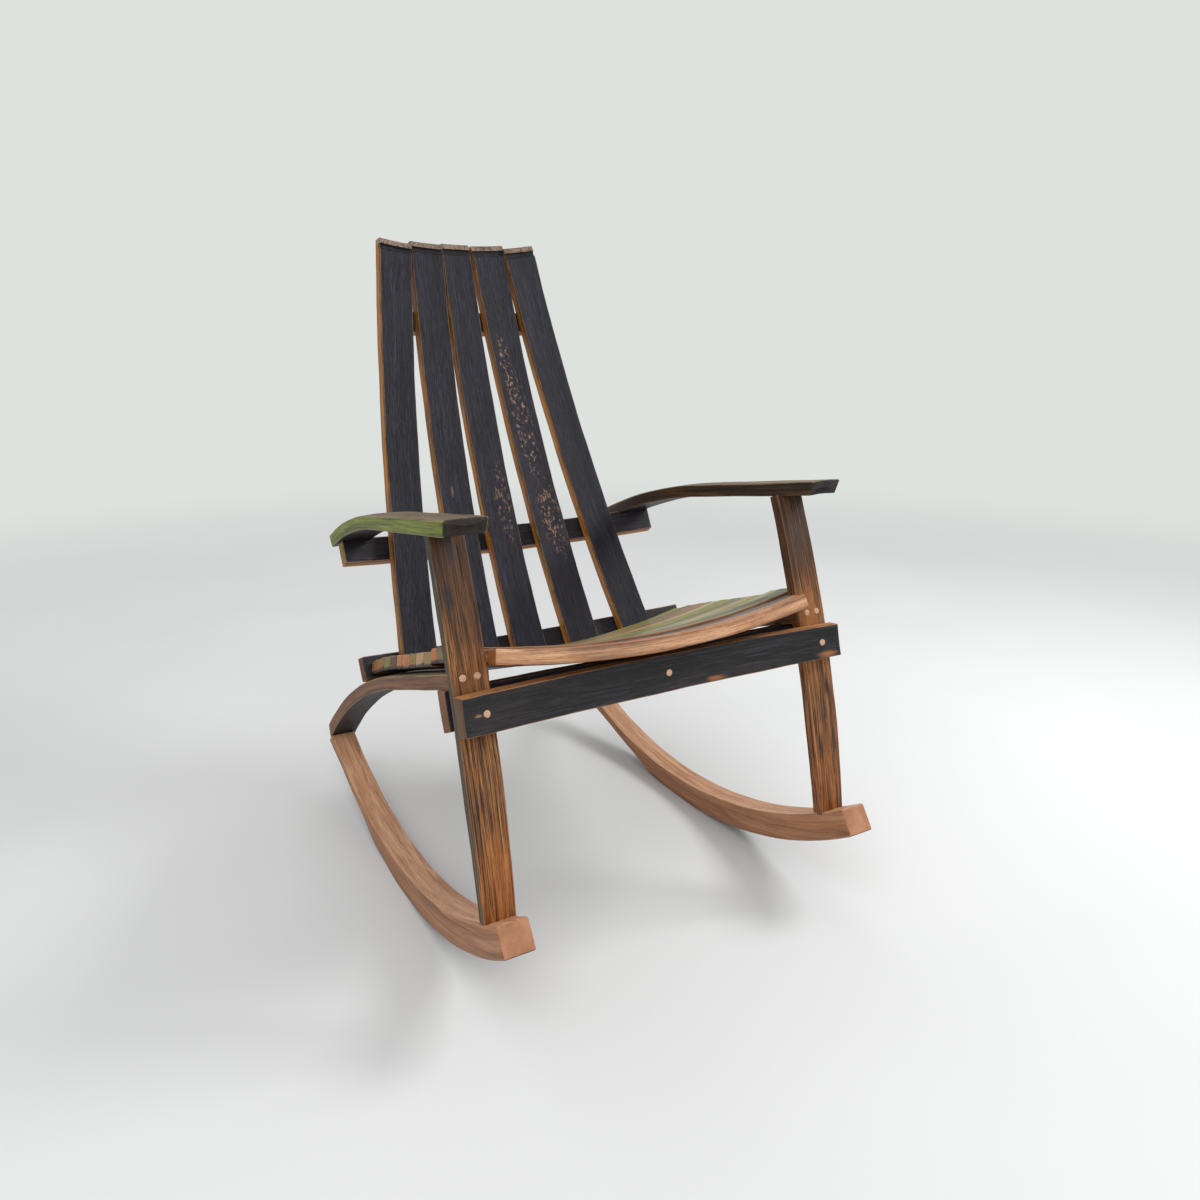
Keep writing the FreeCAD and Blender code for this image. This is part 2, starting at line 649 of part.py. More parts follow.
# Seat: strips laid side by side along the side rails. The first fits between the legs, the second is
# notched round their backs, and the others run out over the rails.
railStart = math.asin((railFront.y - size["seatLead"] - railCentre.y) / bow)
crownDrop = crown(size["barrelRadius"], size["railWide"] / 2)
seatRadius = bow - crownDrop + size["seatGap"]
seatEnd = math.asin((lowSeat.y - railCentre.y) / bow) - (thick + size["backRoom"]) / bow
seatRun = (seatEnd - railStart) * bow
work("seatRun", seatRun)
legInner = size["legSide"] - size["legWide"] / 2
stripCount = len(stripEdgeShares) - 1
for number in range(stripCount):
    startShare, endShare = stripEdgeShares[number:number + 2]
    wide = f"sizes.seatRun * {endShare - startShare:.6f} - sizes.stripGap"
    half = "sizes.legSide - sizes.legWide / 2 - sizes.seatGap" if number == 0 else "sizes.stripLong / 2"
    label = f"seat_strip_{number + 1:02d}"
    piece = strip(label + "_blank", half, wide)
    turn = railStart + seatRun * (startShare + endShare) / 2 / bow
    seat = sideView(railCentre.y + seatRadius * math.sin(turn), railCentre.z + seatRadius * math.cos(turn))
    piece.Placement = Placement(seat, Rotation(Vector(1, 0, 0), -math.degrees(turn)))
    if number == 1:
        piece = cut(label + "_notched", piece, *legs.values())
    keep(label, piece)


def apron(label, long, wide, endWide, tilt, seat, side):
    """A stave across the chair, hollow side forward, whose bulging face passes a seat at each side."""
    piece = stave(label, long, endWide, wide, endWide)
    ends = [seat + Vector(end * side, 0, 0) for end in (-1, 1)]
    piece.Placement = laid(*ends, -facing(tilt), worth(long) / 2 - side, worth(long), bow)
    return piece


# Front apron: its back lies against the legs' inner front edges, a little more upright than they stand.
apronLean = math.degrees(math.asin((size["apronHeight"] - legCentre.z) / bow)) - size["apronEase"]
apronSeat = sideView(onLegFront(size["apronHeight"]) + crown(size["barrelRadius"], size["legWide"] / 2)
                     - size["apronGap"], size["apronHeight"])
frontApron = apron("front_apron_blank", "sizes.apronLong", "sizes.apronWide", "sizes.apronEndWide",
                   apronLean, apronSeat, legInner)

# Rear apron: behind the legs, its upper edge up under the side rails.
rearTop = sideView(-size["rearApronReach"], railUnder(-size["rearApronReach"]) - size["rearApronGap"])
rearDrop = halfWidth(size["rearApronWide"], size["rearApronEndWide"], size["rearApronLong"], bow, size["railSide"], 0)
rearSeat = rearTop - leaning(size["rearApronTilt"]) * rearDrop
rearApron = apron("rear_apron_blank", "sizes.rearApronLong", "sizes.rearApronWide", "sizes.rearApronEndWide",
                  size["rearApronTilt"], rearSeat, size["railSide"])

# Plugs in the front apron: one before each leg and one before the spacer in the middle.
apronOut = facing(apronLean)
apronPlugs = []
for number, side in enumerate((-size["apronPlugSide"], 0, size["apronPlugSide"]), 1):
    depth = math.sqrt((bow - thick) ** 2 - side ** 2) - math.sqrt(bow ** 2 - legInner ** 2)
    apronPlugs.append((apronSeat + apronOut * depth + Vector(side, 0, 0), Rotation(rise, apronOut)))
holes = [plugHole(f"front_apron_hole{number}", *place) for number, place in enumerate(apronPlugs, 1)]
keep("front_apron", cut("front_apron_drilled", frontApron, *holes))
keep("rear_apron", rearApron)


def plugs(label, places):
    """Round wooden plugs, each flush with the face that it closes."""
    bars = [rod(f"{label}_{number}", "sizes.plugWide / 2", "sizes.plugDeep - sizes.plugGap", Placement(seat, look))
            for number, (seat, look) in enumerate(places, 1)]
    group = doc.addObject("Part::Compound", label + "_group")
    group.Links = bars
    return keep(label, group)


plugs("leg_plugs", list(legPlugs.values()))
plugs("apron_plugs", apronPlugs)

# A block between the two aprons takes the middle screw and keeps the long front stave from springing.
frontMiddle = apronSeat + apronOut * (crown(bow, legInner) - thick / 2)
rearMiddle = rearSeat + facing(size["rearApronTilt"]) * (crown(bow, size["railSide"]) - thick / 2)
spacerRun = rearMiddle - frontMiddle
spacer = doc.addObject("Part::Box", "spacer_blank")
spacer.setExpression("Length", "sizes.spacerWide")
spacer.setExpression("Height", "sizes.spacerThick")
spacer.Width = spacerRun.Length
spacerLook = Rotation(back, spacerRun)
spacerCorner = spacerLook.multVec(Vector(size["spacerWide"] / 2, 0, size["spacerThick"] / 2))
spacer.Placement = Placement(frontMiddle - spacerCorner, spacerLook)
keep("apron_spacer", cut("apron_spacer_coped", spacer, frontApron, rearApron))
doc.recompute()

broken = [item.Label for item in doc.Objects if {"Invalid", "Error"} & set(item.State)]
broken += [label for label, piece in nodes.items() if piece.Shape.isNull() or not piece.Shape.isValid()]
if broken:
    raise SystemExit("failed: " + ", ".join(broken))
for label, piece in nodes.items():
    piece.Shape.exportStep(f"parts/{label}.step")
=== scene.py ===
import math

import bpy
import numpy as np
from mathutils import Euler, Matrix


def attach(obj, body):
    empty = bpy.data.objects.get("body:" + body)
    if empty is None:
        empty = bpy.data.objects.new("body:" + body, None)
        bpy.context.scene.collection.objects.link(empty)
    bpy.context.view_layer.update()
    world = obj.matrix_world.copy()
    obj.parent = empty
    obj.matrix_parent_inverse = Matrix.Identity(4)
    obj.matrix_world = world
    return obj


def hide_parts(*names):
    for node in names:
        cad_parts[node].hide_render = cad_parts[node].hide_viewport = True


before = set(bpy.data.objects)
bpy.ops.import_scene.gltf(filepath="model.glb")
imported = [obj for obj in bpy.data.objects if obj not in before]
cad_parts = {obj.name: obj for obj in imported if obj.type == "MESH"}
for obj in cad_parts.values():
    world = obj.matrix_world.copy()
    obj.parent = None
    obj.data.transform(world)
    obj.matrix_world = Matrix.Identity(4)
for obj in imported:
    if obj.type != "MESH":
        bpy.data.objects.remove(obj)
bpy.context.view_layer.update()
print("frame loaded:", len(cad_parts), "wooden pieces")


# Shader maths: one socket, whose sums and products add their own Math nodes.
class Tone:
    def __init__(self, tree, socket=None):
        self.tree = tree
        self.socket = socket

    def make(self, kind, settings=None, sockets=None, output=0):
        node = self.tree.nodes.new("ShaderNode" + kind)
        for name, value in (settings or {}).items():
            if name == "stops":
                fillRamp(node.color_ramp, value)
            else:
                setattr(node, name, value)
        for name, value in (sockets or {}).items():
            if isinstance(value, Tone):
                self.tree.links.new(value.socket, node.inputs[name])
            else:
                node.inputs[name].default_value = value
        return Tone(self.tree, node.outputs[output])

    def sum(self, operation, first, second):
        return self.make("Math", {"operation": operation}, {0: first, 1: second})

    def __add__(self, other):
        return self.sum("ADD", self, other)

    def __radd__(self, other):
        return self.sum("ADD", other, self)

    def __sub__(self, other):
        return self.sum("SUBTRACT", self, other)

    def __rsub__(self, other):
        return self.sum("SUBTRACT", other, self)

    def __mul__(self, other):
        return self.sum("MULTIPLY", self, other)

    def step(self, low, high):
        # eases from 0 at low to 1 at high
        ends = {"Value": self, "From Min": low, "From Max": high}
        return self.make("MapRange", {"interpolation_type": "SMOOTHSTEP"}, ends)

    def stretched(self, scale, shift=(0, 0, 0)):
        grown = self.make("VectorMath", {"operation": "MULTIPLY"}, {0: self, 1: scale})
        return grown.make("VectorMath", {"operation": "ADD"}, {0: grown, 1: shift})

    def noise(self, detail=3.0, rough=0.55, twist=0.0):
        inputs = {"Vector": self, "Scale": 1.0, "Detail": detail, "Roughness": rough, "Distortion": twist}
        return self.make("TexNoise", {}, inputs)

    def mixed(self, factor, other, way="MIX"):
        return self.make("Mix", {"data_type": "RGBA", "blend_type": way}, {0: factor, 6: self, 7: other}, 2)


def fillRamp(ramp, stops):
    while len(ramp.elements) < len(stops):
        ramp.elements.new(0.5)
    for element, (place, colour) in zip(ramp.elements, stops):
        element.position = place
        element.color = colour


def paint(red, green, blue):
    # a colour as the eye reads it, 0 to 255, made linear for the shader
    share = np.array([red, green, blue]) / 255
    linear = np.where(share > 0.04045, ((share + 0.055) / 1.055) ** 2.4, share / 12.92)
    return (*linear.tolist(), 1)


# studio: camera, floor and light
studio = {
    "eye": (-0.6420, -1.2698, 0.8221),      # where the camera stands
    "yaw": -30.07,                          # degrees, turned from +Y towards +X
    "pitch": 75.15,                         # 90 looks level
    "lens": 27.375,
    "shiftX": -0.0038,
    "shiftY": -0.0148,
    "floor": (222, 223, 223),
    "backdrop": (222, 226, 223),
    "fade": (1.6, 4.2),                     # where the floor turns into the backdrop
    "ambient": 0.58,
    "lamps": [                              # place, what it looks at, width, watts
        ((1.9, -0.9, 2.1), (0.0, 0.0, 0.3), 0.9, 36),
        ((-1.2, -1.9, 2.4), (0.0, 0.0, 0.4), 2.4, 38),
        ((0.2, 2.2, 2.6), (0.0, 0.0, 0.4), 2.4, 14),
    ],
}


def makeCamera(look):
    lensData = bpy.data.cameras.new("camera")
    lensData.sensor_width = 36
    lensData.lens = look["lens"]
    lensData.shift_x = look["shiftX"]
    lensData.shift_y = look["shiftY"]
    lensData.clip_start = 0.01
    camera = bpy.data.objects.new("camera", lensData)
    camera.location = look["eye"]
    camera.rotation_euler = Euler((math.radians(look["pitch"]), 0, math.radians(look["yaw"])))
    bpy.context.scene.collection.objects.link(camera)
    bpy.context.scene.camera = camera


def makeFloor(look):
    mesh = bpy.data.meshes.new("floor")
    reach = 40
    mesh.from_pydata([(-reach, -reach, 0), (reach, -reach, 0), (reach, reach, 0), (-reach, reach, 0)],
                     [], [(0, 1, 2, 3)])
    floor = bpy.data.objects.new("floor", mesh)
    bpy.context.scene.collection.objects.link(floor)
    finish = bpy.data.materials.new("floorPaint")
    finish.use_nodes = True
    shader = finish.node_tree.nodes["Principled BSDF"]
    root = Tone(finish.node_tree)
    place = root.make("TexCoord", output="Object")
    cloudy = place.stretched((1.3, 1.3, 1.3)).noise(2)
    colour = root.make("ValToRGB", {"stops": [(0.3, paint(*look["floor"])), (0.7, paint(227, 228, 228))]},
                       {"Fac": cloudy})
    away = place.make("VectorMath", {"operation": "LENGTH"}, {0: place}, "Value")
    far = away.step(*look["fade"])
    near = colour.mixed(far, (0, 0, 0, 1))
    glow = root.make("Mix", {"data_type": "RGBA"}, {0: far, 6: (0, 0, 0, 1), 7: paint(*look["backdrop"])}, 2)
    finish.node_tree.links.new(near.socket, shader.inputs["Base Color"])
    finish.node_tree.links.new(glow.socket, shader.inputs["Emission Color"])
    shader.inputs["Emission Strength"].default_value = 1
    shader.inputs["Roughness"].default_value = 0.8
    shader.inputs["Specular IOR Level"].default_value = 0
    mesh.materials.append(finish)


def makeLight(look):
    world = bpy.data.worlds.new("world")
    world.use_nodes = True
    tree = world.node_tree
    shine = tree.nodes["Background"]
    root = Tone(tree)
    ray = root.make("LightPath", output="Is Camera Ray")
    ambient = (look["ambient"],) * 3 + (1,)
    views = {0: ray, 6: ambient, 7: paint(*look["backdrop"])}
    colour = root.make("Mix", {"data_type": "RGBA"}, views, 2)
    tree.links.new(colour.socket, shine.inputs["Color"])
    bpy.context.scene.world = world
    for number, (place, aim, width, watts) in enumerate(look["lamps"], 1):
        lamp = bpy.data.lights.new(f"softLamp{number}", "AREA")
        lamp.size = width
        lamp.energy = watts
        stand = bpy.data.objects.new(f"softLamp{number}", lamp)
        stand.location = place
        away = np.array(aim) - np.array(place)
        flat = math.hypot(away[0], away[1])
        stand.rotation_euler = Euler((math.atan2(flat, -away[2]), 0, math.atan2(-away[0], away[1])))
        bpy.context.scene.collection.objects.link(stand)


makeCamera(studio)
makeFloor(studio)
makeLight(studio)
bpy.context.scene.view_settings.view_transform = "Standard"
print("studio ready")


# oak: one finish for each piece, mixed from its faces' palettes
charred = [(8, 7, 10), (26, 22, 30), (62, 54, 68)]
amber = [(50, 31, 17), (142, 90, 44), (196, 140, 80)]
sawnOchre = [(88, 52, 20), (170, 112, 46), (208, 156, 84)]
greyOak = [(70, 58, 48), (136, 118, 98), (178, 160, 134)]
endGrain = [(84, 50, 30), (142, 92, 56), (182, 134, 92)]
darkBrown = [(28, 18, 14), (62, 40, 28), (104, 72, 48)]


def palette(value, colours, spread=(0.34, 0.5, 0.68)):
    stops = [(place, paint(*colour)) for place, colour in zip(spread, colours)]
    return value.make("ValToRGB", {"stops": stops}, {"Fac": value})


def oak(name, look):
    # Grain runs along the piece: noise stretched lengthwise for the bands, finer noise for fibres and
    # pores, and broad noise for stains. Each face takes these through a palette of its own.
    finish = bpy.data.materials.new(name)
    finish.use_nodes = True
    tree = finish.node_tree
    shader = tree.nodes["Principled BSDF"]
    root = Tone(tree)
    seed = look.get("seed", 1.0)
    wood = root.make("Attribute", {"attribute_name": "wood"}, output="Vector")
    rim = root.make("Attribute", {"attribute_name": "rim"}, output="Vector")
    split = rim.make("SeparateXYZ", {}, {0: rim})
    sideways = Tone(tree, split.socket.node.outputs[0])
    endways = Tone(tree, split.socket.node.outputs[1])
    depth = Tone(tree, split.socket.node.outputs[2])
    bands = wood.stretched((150, 4.2, 150), (seed, seed * 3, seed)).noise(4, 0.6, 0.7)
    fibres = wood.stretched((820, 16, 820), (seed, 0, seed)).noise(3, 0.6)
    pores = wood.stretched((1900, 70, 1900), (0, seed, 0)).noise(2, 0.5)
    stains = wood.stretched((22, 7, 22), (seed * 5, seed, 0)).noise(3, 0.6, 0.4)
    grain = bands * 0.62 + fibres * 0.38
    charGrain = bands * 0.35 + fibres * 0.65

    hollow = palette(charGrain if look.get("charredHollow", True) else grain, look["hollow"])
    bulge = palette(charGrain if look.get("charredBulge") else grain, look["bulge"])
    edge = palette(grain, look["edge"])
    end = palette(pores * 0.5 + stains * 0.5, look["end"])
    flat = bulge.mixed(depth.step(0.4, 0.6), hollow)
    colour = flat.mixed(sideways.step(0.35, 0.65), edge)
    # the sides darken in patches next to the hollow face: char round the arris on the charred pieces, on the
    # rockers towards the bottom of their sides, on the seat strips towards their tops
    under = depth.step(0.62, 0.9) * sideways.step(0.5, 0.8) * (stains + fibres * 0.4).step(0.5, 0.78)
    colour = colour.mixed(under * look.get("edgeChar", 0.6), paint(30, 22, 18))
    colour = colour.mixed(endways.step(0.4, 0.7), end)

    run = wood.make("SeparateXYZ", {}, {0: wood}, "Y")
    if "chimeFrom" in look:
        # the end grain's tone from the chime up, and a black groove just below it
        chime = look["chimeFrom"]
        colour = colour.mixed(run.step(chime, chime + 0.0004), end)
        croze = run.step(chime - 0.0092, chime - 0.0086) * (1 - run.step(chime - 0.0004, chime))
        colour = colour.mixed(croze * depth.step(0.5, 0.7), paint(8, 7, 8))
    if "tints" in look:
        # the ground colour drifts along the piece, as where rain or sun has reached it
        for start, stop, amount, tone in look["tints"]:
            drift = (run + (stains - 0.5) * 0.16).step(start, stop) * amount
            colour = colour.mixed(drift, colour.mixed(1, paint(*tone), "MULTIPLY"))
    if look.get("cracks"):
        # charred wood splits into fine short cracks along the grain
        cracks = wood.stretched((640, 34, 640), (seed * 4, seed, 2)).noise(2, 0.7).step(0.52, 0.58)
        colour = colour.mixed(cracks * depth.step(0.5, 0.8) * look["cracks"], paint(8, 6, 9))
    if look.get("endChar"):
        # the wood near the bulging face goes near-black in a ragged band: char a few millimetres deep, drawn
        # deeper as painted shade of the dark gap below the seat strips' ends
        low = (1 - depth + (stains - 0.5) * 0.5 + (fibres - 0.5) * 0.3).step(0.74, 0.86) * look["endChar"]
        colour = colour.mixed(low, paint(16, 12, 11))
    streaks = wood.stretched((700, 9, 700), (seed * 2, seed, 1)).noise(2, 0.7)
    streakSpan = look.get("streakSpan", (0.56, 0.7))
    dark = (streaks + (stains - 0.5) * 0.25).step(*streakSpan) * look.get("streaks", 0.35)
    colour = colour.mixed(dark, paint(26, 18, 15))
    cloud = stains.step(0.5, 0.72) * look.get("stain", 0.25)
    colour = colour.mixed(cloud, paint(*look.get("stainTone", (60, 52, 52))))
    worn = (sideways * (1 - sideways) * 4) * (fibres * 0.5 + stains * 0.7).step(0.45, 0.68)
    colour = colour.mixed(worn * look.get("wear", 0.5), paint(*look.get("wearTone", (186, 150, 122))))
    for across, along, wide, long, amount, tone in look.get("spots", []):
        # one fleck or blotch: an oval at a place on the piece, its border broken by the fibres
        local = wood.stretched((1 / wide, 1 / long, 0), (-across / wide, -along / long, 0))
        away = local.make("VectorMath", {"operation": "LENGTH"}, {0: local}, "Value")
        patch = (1 - (away * 0.7 + fibres * 0.9 + bands * 0.4).step(0.75, 1.15)) * amount
        colour = colour.mixed(patch, paint(*tone))
    for across, along, wide, long, amount, tone in look.get("flecks", []):
        # many small flecks inside an oval, where the char has worn through
        local = wood.stretched((1 / wide, 1 / long, 0), (-across / wide, -along / long, 0))
        away = local.make("VectorMath", {"operation": "LENGTH"}, {0: local}, "Value")
        speck = wood.stretched((230, 120, 230), (seed, seed, 3)).noise(3, 0.65)
        patch = (1 - away.step(0.4, 1.1)) * speck.step(0.54, 0.64) * amount
        colour = colour.mixed(patch, paint(*tone))
    colour = colour.mixed(pores.step(0.56, 0.66) * look.get("pores", 0.3), paint(20, 14, 12))

    tree.links.new(colour.socket, shader.inputs["Base Color"])
    gloss = look.get("rough", 0.52) + (fibres - 0.5) * 0.35 + dark * 0.2
    tree.links.new(gloss.socket, shader.inputs["Roughness"])
    shader.inputs["Specular IOR Level"].default_value = look.get("sheen", 0.35)
    relief = fibres * 0.6 + bands * 0.5 - streaks.step(0.55, 0.72) * 0.7 - pores.step(0.55, 0.66) * 0.4
    height = {"Height": relief, "Strength": look.get("relief", 0.35), "Distance": 0.0012}
    bump = relief.make("Bump", {}, height)
    tree.links.new(bump.socket, shader.inputs["Normal"])
    return finish


# boards: a rounded section carried along a path
def ringOf(cells=8, arc=4):
    # Once round a section. Columns: which side, corner reach, which face, corner drop, how far on the side.
    rows = []
    across = np.concatenate([[-1, -0.94], np.linspace(-0.85, 0.85, cells), [0.94, 1]])
    down = np.array([0.0, 0.12, 0.5, 0.88, 1.0])
    turn = np.linspace(0, np.pi / 2, arc + 1)[1:-1]
    rows += [(a, 0, 0, -1, 0) for a in across]
    rows += [(1, np.sin(t), 0, -np.cos(t), t / (np.pi / 2)) for t in turn]
    rows += [(1, 1, d, 0, 1) for d in down]
    rows += [(1, np.cos(t), 1, np.sin(t), 1 - t / (np.pi / 2)) for t in turn]
    rows += [(-a, 0, 1, 1, 0) for a in across]
    rows += [(-1, -np.sin(t), 1, np.cos(t), t / (np.pi / 2)) for t in turn]
    rows += [(-1, -1, 1 - d, 0, 1) for d in down]
    rows += [(-1, -np.cos(t), 0, -np.sin(t), 1 - t / (np.pi / 2)) for t in turn]
    return np.array(rows).T


def endRows(radius):
    # Rows of a rounded end: how far along, how far drawn in, how far closed, how much it is end grain.
    turn = np.linspace(0, np.pi / 2, 4)
    rim = [(radius * (1 - np.sin(t)), radius * (1 - np.cos(t)), 1.0, t / (np.pi / 2)) for t in turn[::-1]]
    face = [(0.0, radius, closed, 1.0) for closed in (0.02, 0.35, 0.7)]
    return np.array(face + rim)


def meshOf(name, rings, wood, rim):
    # Rings of points become quads, the first and last ring close on a pole of their own.
    rows, around = rings.shape[:2]
    points = rings.reshape(-1, 3)
    poles = np.stack([rings[0].mean(0), rings[-1].mean(0)])
    row, column = np.meshgrid(np.arange(rows - 1), np.arange(around), indexing="ij")
    after = (column + 1) % around
    quads = np.stack([row * around + column, row * around + after,
                      (row + 1) * around + after, (row + 1) * around + column], -1).reshape(-1, 4)
    ring = np.arange(around)
    first = np.stack([np.full(around, len(points)), (ring + 1) % around, ring], -1)
    last = np.stack([np.full(around, len(points) + 1), (rows - 1) * around + ring,
                     (rows - 1) * around + (ring + 1) % around], -1)
    corners = np.concatenate([points, poles])
    heart = corners.mean(0)
    a, b, c = (corners[quads[:, k]] - heart for k in (0, 1, 2))
    if np.einsum("ij,ij->i", a, np.cross(b, c)).sum() < 0:
        quads, first, last = quads[:, ::-1], first[:, ::-1], last[:, ::-1]
    mesh = bpy.data.meshes.new(name)
    mesh.from_pydata(corners.tolist(), [], quads.tolist() + first.tolist() + last.tolist())
    mesh.polygons.foreach_set("use_smooth", np.ones(len(mesh.polygons), bool))
    for label, values in (("wood", wood), ("rim", rim)):
        ends = np.stack([values[0].mean(0), values[-1].mean(0)])
        layer = mesh.attributes.new(label, "FLOAT_VECTOR", "POINT")
        everyPoint = np.concatenate([values.reshape(-1, 3), ends]).astype(np.float32)
        layer.data.foreach_set("vector", everyPoint.ravel())
    mesh.update()
    return mesh


def board(name, nodes, look, path, length):
    # A board's surface: at each step along the path a section stands square to it, its bulging face out.
    # Its half width follows the step. Corners are round, and faces wander by a hair.
    radius = look.get("round", 0.0016)
    rake = look.get("rake", (0.0, 0.0))                 # how much further the hollow face runs at each end
    rakeReach = 0.05                                    # how far from an end the rake is felt
    ends = endRows(radius)
    inner = np.linspace(0, 1, look.get("steps", 64))[1:-1] * (length - 2 * radius) + radius
    inner = np.sort(np.concatenate([inner, look.get("extra", [])]))
    along = np.concatenate([ends[:, 0], inner, length - ends[::-1, 0]])
    drawn = np.concatenate([ends[:, 1], np.zeros(len(inner)), ends[::-1, 1]])
    closed = np.concatenate([ends[:, 2], np.ones(len(inner)), ends[::-1, 2]])
    endShare = np.concatenate([ends[:, 3], np.zeros(len(inner)), ends[::-1, 3]])
    side, reach, face, drop, onSide = (column[None, :] for column in ringOf())
    spot = along[:, None]
    share = spot / length
    low, middle, high = look["wide"]
    half = (middle - (middle - low) * np.clip(1 - 2 * share, 0, 1) ** 2
            - (middle - high) * np.clip(2 * share - 1, 0, 1) ** 2) / 2 - drawn[:, None]
    thick = look["thick"]
    thin = np.zeros_like(spot)
    for begin, finish, startDeep, endDeep in look.get("hollowCuts", []):
        # a cut across the hollow face between two places from the high end
        fromEnd = length - spot
        inside = (fromEnd >= begin) & (fromEnd <= finish)
        cutDeep = startDeep + (endDeep - startDeep) * (fromEnd - begin) / (finish - begin)
        thin = np.where(inside, cutDeep, thin)
    small = np.maximum(radius - drawn[:, None], radius * 0.1)
    clear = thick - 2 * drawn[:, None] - 2 * small
    deep = drawn[:, None] + small + clear * face + small * drop - thin * face
    bevel = look.get("bevel", math.tan(math.radians(5)))
    offset = side * (half - bevel * deep - small) + small * reach
    offset = offset * closed[:, None]
    deep = thick / 2 + (deep - thick / 2) * closed[:, None]
    seed = look.get("seed", 1.0)
    waver = 0.0004
    slow = np.sin(spot * 31 + seed * 7) * 0.6
    quick = np.sin(spot * 74 + seed * 3) * 0.3 + np.sin(spot * 183 + seed) * 0.15
    offset = offset + waver * (slow + quick) * side
    ripple = np.sin(spot * 47 + offset * 60 + seed) * 0.5 + np.sin(offset * 210 + seed * 4) * 0.3
    deep = deep + waver * ripple
    barrel = 0.317
    crown = offset ** 2 / (2 * barrel)
    nearLow = np.clip(1 - spot / rakeReach, 0, 1)
    nearHigh = np.clip(1 - (length - spot) / rakeReach, 0, 1)
    lean = face * (rake[0] * nearLow + rake[1] * nearHigh)
    leaning = spot + lean * np.where(share < 0.5, -1, 1)
    place, forward, outward = path(np.clip(leaning, -rakeReach, length + rakeReach))
    across = np.cross(forward, outward)
    points = place + across * offset[..., None] - outward * (deep + crown)[..., None]
    zero = np.zeros_like(offset)
    wood = np.stack([offset, spot + zero, deep], -1)
    rim = np.stack([onSide + zero, endShare[:, None] + zero, np.clip(deep / thick, 0, 1)], -1)
    piece = bpy.data.objects.new(name, meshOf(name, points, wood, rim))
    bpy.context.scene.collection.objects.link(piece)
    piece.data.materials.append(oak(name + "Oak", look))
    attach(piece, "root")
    if nodes:
        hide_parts(*nodes)


def unit(vector):
    vector = np.array(vector, float)
    return vector / np.linalg.norm(vector)


def bowed(low, high, outward, bow):
    # An arc between two points that bulges outward: returns the path and its length.
    low, high = np.array(low, float), np.array(high, float)
    chord = np.linalg.norm(high - low)
    forward = (high - low) / chord
    out = unit(np.array(outward, float) - forward * np.dot(forward, outward))
    opening = math.asin(chord / (2 * bow))
    start = forward * math.cos(opening) + out * math.sin(opening)
    normal = out * math.cos(opening) - forward * math.sin(opening)
    return bent(low, start, normal, 0.0, bow), 2 * bow * opening


def bent(place, forward, normal, straight, bow):
    # A straight run, then an arc that turns away from the normal.
    place, forward, normal = (np.array(item, float) for item in (place, forward, normal))

    def path(spot):
        curved = np.maximum(spot - straight, 0) if straight else spot
        run = np.minimum(spot, straight) if straight else np.zeros_like(spot)
        turn = (curved / bow)[..., None]
        sine, cosine = np.sin(turn), np.cos(turn)
        point = place + forward * run[..., None] + bow * (forward * sine - normal * (1 - cosine))
        return point, forward * cosine - normal * sine, normal * cosine + forward * sine

    return path


def tilted(angle):
    # the directions up along a face that leans back by an angle, and straight back out of it
    turn = math.radians(angle)
    return np.array([0, math.sin(turn), math.cos(turn)]), np.array([0, math.cos(turn), -math.sin(turn)])


# legs
legs = {
    "foot": (-0.376, 0.140),                # y and z at the rocker, below where it shows
    "top": (-0.2445, 0.6035),               # inside the arm
    "side": 0.269,
    "bow": 2.083,
    "wide": (0.043, 0.0483, 0.046),
    "thick": 0.020,
    "slot": "weathered_oak",
    "bulge": amber,
    "hollow": charred,
    "end": endGrain,
    "edgeChar": 0.3,
    "streaks": 0.9,
    "streakSpan": (0.50, 0.60),
    "stain": 0.3,
    "stainTone": (70, 58, 52),
    "pores": 0.6,
    "wear": 0.3,
    "tints": [(0.24, 0.42, 0.9, (150, 150, 164)), (0.20, -0.02, 0.45, (255, 214, 160))],
}
legEdges = {
    "right": [(40, 30, 16), (92, 72, 38), (140, 118, 70)],
    "left": [(84, 46, 20), (154, 92, 42), (190, 130, 70)],
}
legSpots = {
    "right": [(0.0, 0.462, 0.016, 0.05, 0.75, (58, 54, 58)), (-0.012, 0.40, 0.012, 0.03, 0.8, (36, 32, 36)),
              (0.004, 0.06, 0.024, 0.10, 0.55, (158, 92, 46))],
    "left": [(0.010, 0.19, 0.012, 0.03, 0.9, (26, 18, 14)), (-0.012, 0.10, 0.01, 0.05, 0.8, (24, 17, 14)),
             (0.0, 0.30, 0.022, 0.09, 0.55, (176, 112, 58))],
}
for name, side in {"right": -1, "left": 1}.items():
    ends = [(side * legs["side"], *legs[key]) for key in ("foot", "top")]
    look = legs | {"spots": legSpots[name], "edge": legEdges[name], "seed": 2.3 + side}
    board(f"leg{name.title()}", [f"leg_{name}"], look, *bowed(*ends, (0, -1, 0.25), legs["bow"]))

# side rails
rails = {
    "start": (-0.300, 0.4412),              # y and z of the top at the leg
    "slope": -0.340,
    "straight": 0.2745,
    "bow": 1.300,
    "length": 0.7525,
    "side": 0.2675,
    "wide": (0.0505, 0.0485, 0.0505),
    "thick": 0.020,
    "rake": (0.0, 0.016),
    "bulge": greyOak,
    "hollow": charred,
    "edge": [(58, 30, 16), (122, 74, 42), (156, 106, 62)],
    "end": endGrain,
    "streaks": 0.5,
    "wear": 0.75,
    "wearTone": (168, 150, 92),
}


def sideRun(look, x, spread=0.0):
    forward = unit((spread, 1, look["slope"]))
    normal = unit((0, -look["slope"], 1) - forward * np.dot(forward, (0, -look["slope"], 1)))
    return bent((x, *look["start"]), forward, normal, look["straight"], look["bow"]), look["length"]


for name, side in {"right": -1, "left": 1}.items():
    look = rails | {"seed": 5.1 + side}
    board(f"sideRail{name.title()}", [f"side_rail_{name}"], look, *sideRun(look, side * rails["side"]))

